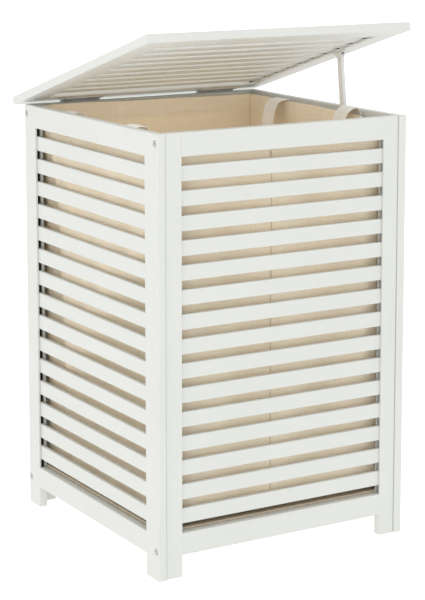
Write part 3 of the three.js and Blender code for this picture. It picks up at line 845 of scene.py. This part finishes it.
STAY_BEHIND = 75 * MM     # to this far behind it
STAY_BLEND = 40 * MM
FOLD_DEPTH = 3.4 * MM
CREASE_DEPTH = 1.5 * MM
SIDE_REACH = 34 * MM      # a point this far inside a wall no longer follows it
SIDE_BLEND = 24 * MM

# Height of the rim above the CAD bag's top, in mm, for turns round the bag from the front wall's middle.
RIM_TURNS = (0, 0.10, 0.135, 0.18, 0.25, 0.37, 0.50, 0.60, 0.64, 0.75, 0.88, 1)
RIM_RISES = (2, 1, -6, 0, 0.2, 1.2, 3, 5, 4, 2, 1.5, 2)


def smooth_step(value):
    value = np.clip(value, 0, 1)
    return value * value * (3 - 2 * value)


def waves(u, v, seed, count, u_turns, v_turns):
    """A sum of seeded waves, between about -1 and 1. u runs once round the bag, and v from rim to bottom."""
    random = np.random.default_rng(seed)
    total = np.zeros(np.broadcast(u, v).shape)
    for _ in range(count):
        around = random.integers(*u_turns)
        down = random.uniform(*v_turns)
        phase = random.uniform(0, 2 * math.pi)
        total += np.sin(2 * math.pi * (around * u + down * v) + phase)
    return total / count * 1.4


def bag_outline(u, depth):
    """A point of the bag's wall for u round it and depth 0 at the rim to 1 at the bottom."""
    radius = TOP_CORNER + (LOW_CORNER - TOP_CORNER) * smooth_step(depth)
    return rounded_rectangle(
        u, WALL_LEFT + BAG_GAP, WALL_RIGHT - BAG_GAP, WALL_FRONT + BAG_GAP, WALL_BACK - BAG_GAP, radius
    )


def between_rails(z):
    """1 where the slats are, falling to 0 beside the rails."""
    return smooth_step((OPEN_TOP - 2 * MM - z) / (22 * MM)) * smooth_step((z - OPEN_BOTTOM) / (26 * MM))


def left_wall_inset(y, z):
    """The left wall lies against the slats, is tucked in at the rear, and hangs hollow low at the front."""
    share = (y - STILE_FRONT) / (STILE_REAR - STILE_FRONT)
    low_line = (OPEN_TOP - HOLLOW_TOP - z) / HOLLOW_RUN
    hollow = smooth_step((low_line - share) / 0.3 + 0.3)
    down = np.clip((OPEN_TOP - z) / TUCK_RUN, 0, 1)
    tuck_at = STILE_REAR - TUCK_TOP - (TUCK_LOW - TUCK_TOP) * down ** 0.6
    tuck = smooth_step((y - tuck_at) / (5 * MM))
    loose = (HOLLOW + BULGE) * hollow - BULGE
    loose = loose * smooth_step((y - STILE_FRONT + 4 * MM) / (24 * MM))
    return between_rails(z) * (loose * (1 - tuck) + TUCK_DEPTH * tuck)


def front_wall_inset(x, z):
    """The front wall leans lightly against the slats, away from the stiles."""
    return -FRONT_BULGE * between_rails(z) * smooth_step((STILE_SIDE - np.abs(x)) / (22 * MM))


def rounded_rectangle(u, left, right, front, back, radius):
    """Points of a rounded rectangle for u from 0 to 1, anticlockwise from the middle of the front wall.

    The way round is walked side by side and corner by corner, and each point stops where its u runs out.
    """
    u, radius = np.broadcast_arrays(u, radius)
    wide, deep = right - left - 2 * radius, back - front - 2 * radius
    quarter = radius * math.pi / 2
    run = (u % 1) * (2 * (wide + deep) + 4 * quarter)
    x, y = (left + right) / 2 + 0 * run, front + 0 * run
    sides = (wide / 2, deep, wide, deep, wide / 2)
    headings = ((1, 0), (0, 1), (-1, 0), (0, -1), (1, 0))
    for length, (ahead_x, ahead_y) in zip(sides, headings):
        straight = np.clip(run, 0, length)
        angle = np.clip(run - length, 0, quarter) / radius
        ahead = straight + radius * np.sin(angle)
        aside = radius * (1 - np.cos(angle))
        x = x + ahead_x * ahead - ahead_y * aside
        y = y + ahead_y * ahead + ahead_x * aside
        run = run - length - quarter
    return x, y


def stay_room(x, y):
    """Keeps the right wall inwards of the stay's swing."""
    ahead = smooth_step((y - (STAY_Y - STAY_AHEAD)) / STAY_BLEND)
    behind = smooth_step((STAY_Y + STAY_BEHIND - y) / STAY_BLEND)
    return x - np.maximum(x - STAY_SIDE, 0) * ahead * behind


def bag_points():
    """Rows of points down the wall and then inwards over the bottom."""
    u = np.linspace(0, 1, BAG_COLUMNS, endpoint=False)[None, :]
    depth = np.linspace(0, 1, WALL_ROWS)[:, None]
    x, y = bag_outline(u, depth)
    bottom = bag_low.z + BOTTOM_LIFT + 1.3 * MM * waves(u, 0 * u, 3, 4, (2, 9), (0, 1))
    rises = np.interp(u, RIM_TURNS, RIM_RISES) * MM
    rim = bag_high.z + rises + 0.5 * MM * waves(u, 0 * u, 5, 4, (3, 11), (0, 1))
    z = rim + (bottom - rim) * depth
    centre_x, centre_y = (WALL_LEFT + WALL_RIGHT) / 2, (WALL_FRONT + WALL_BACK) / 2
    slack = smooth_step(depth / 0.2)
    folds = 0.5 + 0.5 * waves(u, depth, 11, 7, (3, 15), (-1.6, 1.6))
    creases = 0.5 + 0.5 * waves(u, depth, 17, 8, (14, 34), (-3.5, 3.5))
    inward = slack * (FOLD_DEPTH * folds + CREASE_DEPTH * creases) + 0.6 * MM * (1 - slack)
    away = np.hypot(x - centre_x, y - centre_y)
    share = inward / away * 1.2
    left_side = smooth_step((WALL_LEFT + SIDE_REACH - x) / SIDE_BLEND)
    front_side = smooth_step((WALL_FRONT + SIDE_REACH - y) / SIDE_BLEND)
    shift_x = left_side * left_wall_inset(y, z)
    shift_y = front_side * front_wall_inset(x, z)
    x, y = x + (centre_x - x) * share + shift_x, y + (centre_y - y) * share + shift_y
    x = stay_room(x, y)
    rows = [(x[i], y[i], z[i] + 0 * x[i]) for i in range(WALL_ROWS)]
    base_x, base_y, base_z = rows[-1]
    rest = bag_low.z - 0.6 * MM
    for i in range(1, BOTTOM_ROWS + 1):
        share = 1 - i / (BOTTOM_ROWS + 0.4)
        px = centre_x + (base_x - centre_x) * share
        py = centre_y + (base_y - centre_y) * share
        ripple = 1.2 * MM * (1 + waves(u[0], 0 * u[0] + i / 9, 23, 6, (3, 12), (-1, 1)))
        pz = rest + ripple * min(1, share * 1.5) + (base_z - rest) * smooth_step(1 - i / 3.2)
        rows.append((px, py, pz))
    return rows


def grid_mesh(bm, rows, cap=True):
    grid = [[bm.verts.new(point) for point in zip(*row)] for row in rows]
    columns = len(grid[0])
    for upper, lower in zip(grid, grid[1:]):
        for i in range(columns):
            j = (i + 1) % columns
            bm.faces.new((upper[i], lower[i], lower[j], upper[j]))
    if cap:
        bm.faces.new(list(reversed(grid[-1])))
    bmesh.ops.recalc_face_normals(bm, faces=bm.faces)


def build_bag():
    """The bag's cloth, with its hem, binding and seams. It is cut as a sleeve and a square bottom."""
    cotton = woven("cotton", (0.86, 0.73, 0.555), (0.95, 0.86, 0.72), 0.8 * MM, 0.0001)
    hem_cloth = woven("hem_cloth", (0.87, 0.75, 0.58), (0.95, 0.875, 0.74), 0.8 * MM, 0.0001)
    binding_cloth = woven("binding_cloth", (0.86, 0.84, 0.78), (0.94, 0.92, 0.88), 0.8 * MM, 0.0001)
    seam_cloth = woven("seam_cloth", (0.62, 0.50, 0.36), (0.76, 0.64, 0.49), 0.8 * MM, 0.0001)
    rows = bag_points()
    bm = bmesh.new()
    grid_mesh(bm, rows)
    bag = add_object("laundry_bag_cloth", bm)
    solid = bag.modifiers.new("cloth", "SOLIDIFY")
    solid.thickness = CLOTH
    solid.offset = -1
    smooth(bag, 60)
    finish_piece(bag, cotton, "hamper_body", ["laundry_bag"])
    hem = build_hem(rows, hem_cloth)
    binding = build_binding(rows, binding_cloth)
    seams = build_seams(rows, seam_cloth)


def offset_ring(row, outwards):
    """A ring of bag points moved away from the bag's middle."""
    x, y, z = (np.asarray(values) for values in row)
    ahead = np.stack([np.roll(x, -1) - np.roll(x, 1), np.roll(y, -1) - np.roll(y, 1)])
    ahead /= np.linalg.norm(ahead, axis=0)
    return x + ahead[1] * outwards, y - ahead[0] * outwards, z


def build_hem(rows, material):
    """The turned-over hem along the rim: a slightly thicker band."""
    count = round(HEM_HEIGHT / (bag_high.z - bag_low.z) * WALL_ROWS)
    inside = [offset_ring(row, -(CLOTH + 0.5 * MM)) for row in rows[:count + 1]]
    outside = [offset_ring(row, 0.5 * MM) for row in rows[:count + 1]]
    top = [(x, y, z + 0.5 * MM) for x, y, z in (inside[0], outside[0])]
    crown = ((top[0][0] + top[1][0]) / 2, (top[0][1] + top[1][1]) / 2, top[0][2] + 0.4 * MM)
    loop = [*reversed(inside), top[0], crown, top[1], *outside]
    bm = bmesh.new()
    grid_mesh(bm, loop, cap=False)
    hem = add_object("bag_rim_hem", bm)
    smooth(hem, 70)
    return finish_piece(hem, material, "hamper_body")


def tube(bm, points, radius, closed=True, sides=8, flatten=1.0):
    """A tube along a list of points, closed into a ring or with flat ends."""
    points = [Vector(p) for p in points]
    count = len(points)
    rings = []
    for i, point in enumerate(points):
        before = points[(i - 1) % count] if closed or i else point
        after = points[(i + 1) % count] if closed or i < count - 1 else point
        way = (after - before).normalized()
        side = way.cross(Vector((0, 0, 1)))
        side = side.normalized() if side.length > 0.05 else Vector((1, 0, 0))
        up = side.cross(way)
        ring = []
        for k in range(sides):
            angle = 2 * math.pi * k / sides
            spoke = flatten * math.cos(angle) * side + math.sin(angle) * up
            ring.append(bm.verts.new(point + radius * spoke))
        rings.append(ring)
    last = count if closed else count - 1
    for i in range(last):
        here, there = rings[i], rings[(i + 1) % count]
        for k in range(sides):
            m = (k + 1) % sides
            bm.faces.new((here[k], here[m], there[m], there[k]))
    if not closed:
        bm.faces.new(list(reversed(rings[0])))
        bm.faces.new(rings[-1])
    bmesh.ops.recalc_face_normals(bm, faces=bm.faces)


def build_binding(rows, material):
    """A pale binding round the bottom seam."""
    x, y, z = offset_ring(rows[WALL_ROWS - 1], 0.4 * MM)
    bm = bmesh.new()
    tube(bm, list(zip(x, y, z - 0.8 * MM)), 1.9 * MM, flatten=0.6)
    binding = add_object("bag_bottom_binding", bm)
    smooth(binding, 80)
    return finish_piece(binding, material, "hamper_body")


SEAMS_AT = ((0.9905, 0.2), (0.625, -1.1), (0.375, -1.1))   # turn round the bag, and mm outwards of its cloth


def build_seams(rows, material):
    """Felled seams that run down the wall."""
    bm = bmesh.new()
    for at, outwards in SEAMS_AT:
        column = round(at * BAG_COLUMNS) % BAG_COLUMNS
        rings = [offset_ring(row, outwards * MM) for row in rows[:WALL_ROWS]]
        points = [(ring[0][column], ring[1][column], ring[2][column]) for ring in rings]
        tube(bm, points, 0.8 * MM, closed=False)
    seams = add_object("bag_seams", bm)
    smooth(seams, 80)
    return finish_piece(seams, material, "hamper_body")


# ---------------------------------------------------------------- webbing handles

HANDLE_WIDTH = 30 * MM
HANDLE_THICKNESS = 1.8 * MM

# Each end's way over the rim, in mm: inwards from the panel, and up from the CAD bag's top.
STRAP_ENDS = {
    ("right", "rear"): (
        (1.5, -20), (1.5, -10), (2.2, 1), (6, 3.1), (14, 2.6), (22.5, -0.6), (29, -11), (33, -33),
    ),
    ("right", "front"): (
        (1.5, -9), (1.5, -4), (2.6, 2.2), (6, 7.6), (12, 10), (21.5, 6.9), (29, -1), (33.5, -20),
    ),
    ("left", "rear"): (
        (1.5, -20), (1.5, -10), (2.4, 2.2), (7, 4.4), (18, 4.3), (25, 0.6), (30.5, -11), (33, -33),
    ),
    ("left", "front"): (
        (1.5, -20), (1.5, -10), (2.4, 2.2), (7, 4.2), (16, 5), (25, 3.2), (30.5, -6), (33, -26),
    ),
}
# The hanging loop from one leg to its middle: inwards, share of the half span, and up.
STAY_ROOM = 4 * MM      # how far the strap beside the stay is moved forward, clear of its bracket
STRAP_LOOP = ((34, 0.97, -60), (34.5, 0.80, -90), (35, 0.45, -104), (35, 0, -108))


def catmull_rom(points, steps):
    """A smooth curve through the points."""
    points = [Vector(p) for p in points]
    padded = [2 * points[0] - points[1], *points, 2 * points[-1] - points[-2]]
    curve = []
    for a, b, c, d in zip(padded, padded[1:], padded[2:], padded[3:]):
        for i in range(steps):
            t = i / steps
            curve.append(0.5 * (2 * b + (c - a) * t + (2 * a - 5 * b + 4 * c - d) * t * t
                                + (3 * b - a - 3 * c + d) * t ** 3))
    curve.append(points[-1])
    return curve


def handle_route(side):
    """The middle line of a handle, from its end at the front, round its loop, to its end at the rear."""
    sign, wall = (-1, WALL_LEFT) if side == "left" else (1, WALL_RIGHT)
    low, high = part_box(f"bag_handle_{side}")
    middle_y, span = (low.y + high.y) / 2, (high.y - low.y - HANDLE_WIDTH) / 2

    def spot(inwards, share, up):
        return (wall - sign * inwards * MM, middle_y + share * span, bag_high.z + up * MM)

    front_share = -1 - STAY_ROOM / span if side == "right" else -1
    front = [spot(inwards, front_share, up) for inwards, up in STRAP_ENDS[side, "front"]]
    rear = [spot(inwards, 1, up) for inwards, up in STRAP_ENDS[side, "rear"]]
    loop = [spot(inwards, -share, up) for inwards, share, up in STRAP_LOOP]
    loop += [spot(inwards, share, up) for inwards, share, up in reversed(STRAP_LOOP[:-1])]
    return catmull_rom([*front, *loop, *reversed(rear)], 8)


def build_handles():
    """A band along each handle's route. Its width runs along the wall, and turns away at the loop's middle."""
    webbing = woven("webbing", (0.84, 0.82, 0.78), (0.93, 0.91, 0.87), 1.4 * MM, 0.00016)
    for side, sign in (("left", -1), ("right", 1)):
        curve = handle_route(side)
        last = len(curve) - 1
        bm = bmesh.new()
        rings = []
        for i, point in enumerate(curve):
            way = (curve[min(i + 1, last)] - curve[max(i - 1, 0)]).normalized()
            to_middle = min(i, last - i) / (last / 2)
            turn = float(smooth_step(np.array((to_middle - 0.72) / 0.24)))
            wish = Vector((sign * turn, 1 - turn, 0))
            wide = (wish - way * wish.dot(way)).normalized()
            thick = way.cross(wide)
            rings.append([
                bm.verts.new(point + a * HANDLE_WIDTH / 2 * wide + b * HANDLE_THICKNESS / 2 * thick)
                for a, b in band_section()
            ])
        for here, there in zip(rings, rings[1:]):
            for k in range(len(here)):
                m = (k + 1) % len(here)
                bm.faces.new((here[k], here[m], there[m], there[k]))
        bm.faces.new(list(reversed(rings[0])))
        bm.faces.new(rings[-1])
        bmesh.ops.recalc_face_normals(bm, faces=bm.faces)
        handle = add_object(f"bag_handle_{side}_webbing", bm)
        smooth(handle, 50)
        finish_piece(handle, webbing, "hamper_body", [f"bag_handle_{side}"])
        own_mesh(handle)


def band_section():
    """A flat band's outline, with rounded edges and thin ribs, in half widths and half thicknesses."""
    ribs = 7
    top = []
    for i in range(4 * ribs + 1):
        across = -0.94 + 1.88 * i / (4 * ribs)
        top.append((across, 0.88 + 0.12 * math.cos(2 * math.pi * i / 4)))
    bottom = [(-a, -b) for a, b in top]
    return [*top, (1.0, 0.35), (1.0, -0.35), *bottom, (-1.0, -0.35), (-1.0, 0.35)]


# ---------------------------------------------------------------- the whole scene

add_camera()
add_studio()
for panel, across, sides in (
    ("left", 1, ("front", "rear")),
    ("right", 1, ("front", "rear")),
    ("front", 0, ("left", "right")),
    ("back", 0, ("left", "right")),
):
    build_panel(panel, across, sides)
build_lid()
build_floor_panel()
build_bolts()
build_hinges()
build_stay()
build_studs()
build_bag()
build_handles()
